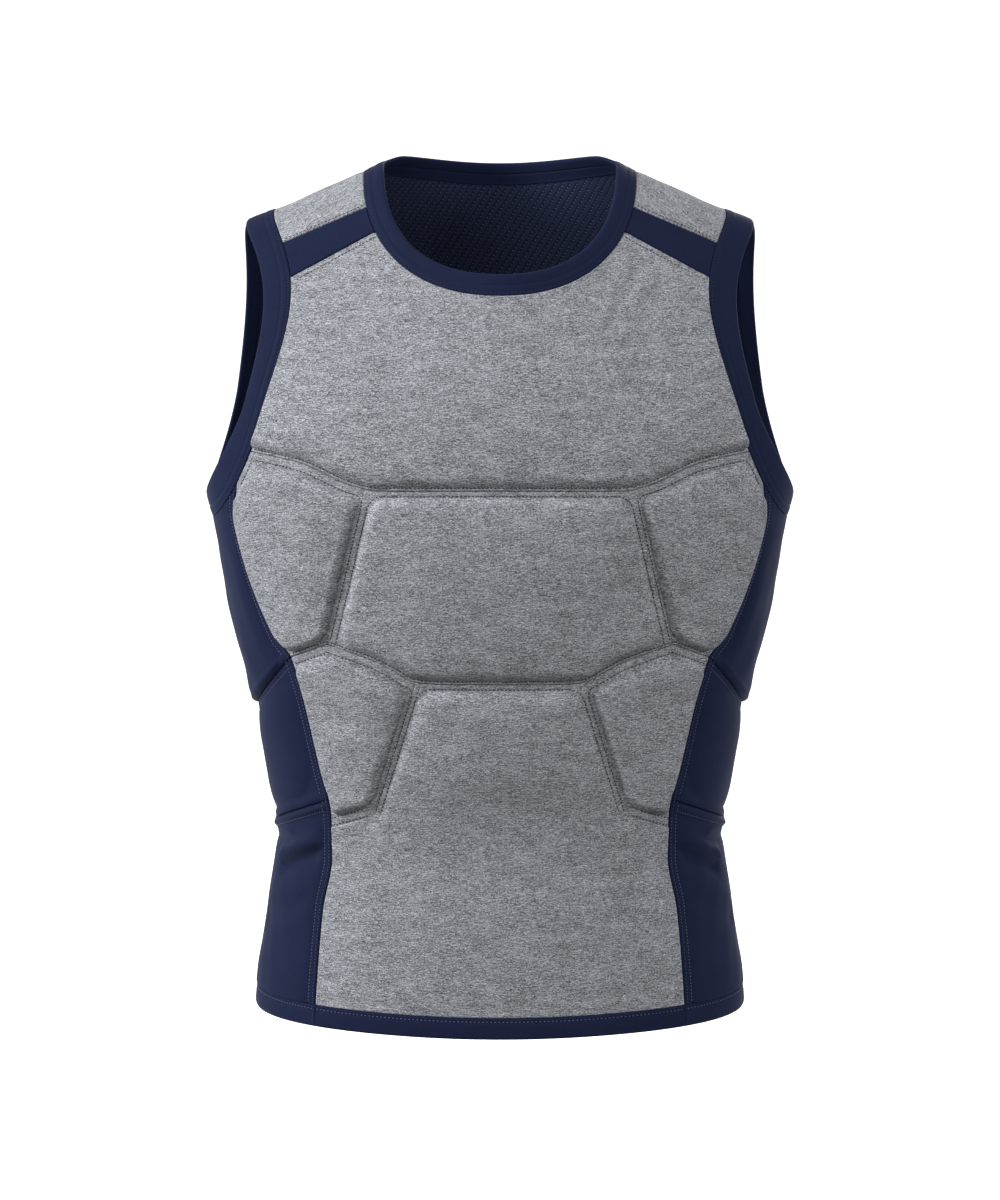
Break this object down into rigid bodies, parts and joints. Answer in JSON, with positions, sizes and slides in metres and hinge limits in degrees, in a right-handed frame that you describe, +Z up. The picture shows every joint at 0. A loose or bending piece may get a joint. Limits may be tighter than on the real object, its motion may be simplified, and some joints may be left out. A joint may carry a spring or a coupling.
{
  "type": "contact vest",
  "caption": "Sleeveless padded sports vest in its worn shape, with quilted foam panels over the front, stretch side panels and banded neck, armholes and hem.",
  "frame": {"origin": "middle of the shoulders, level with the inside of the shoulder strips, where the vest hangs on the wearer", "axes": "+Z up, -Y out of the chest, +X to the wearer's left"},
  "size_m": [0.442, 0.2625, 0.6483],
  "materials": {
    "grey_marl": "matt heather-grey brushed knit",
    "navy_stretch": "smooth navy stretch knit with a faint sheen",
    "navy_mesh": "dark navy knitted mesh"
  },
  "bodies": {
    "root": {"chest_panel": "grey_marl", "upper_pad_centre": "grey_marl", "upper_pad_left": "grey_marl", "upper_pad_right": "grey_marl", "lower_pad_left": "grey_marl", "lower_pad_right": "grey_marl", "belly_panel": "grey_marl", "back_panel": "grey_marl", "back_lining": "navy_mesh", "side_upper_left": "navy_stretch", "side_upper_right": "navy_stretch", "side_middle_left": "navy_stretch", "side_middle_right": "navy_stretch", "side_lower_left": "navy_stretch", "side_lower_right": "navy_stretch", "shoulder_strip_left": "navy_stretch", "shoulder_strip_right": "navy_stretch", "neck_binding": "navy_stretch", "armhole_binding_left": "navy_stretch", "armhole_binding_right": "navy_stretch", "hem_front": "navy_stretch", "hem_left": "navy_stretch", "hem_right": "navy_stretch", "hem_back": "navy_stretch"}
  },
  "joints": []
}
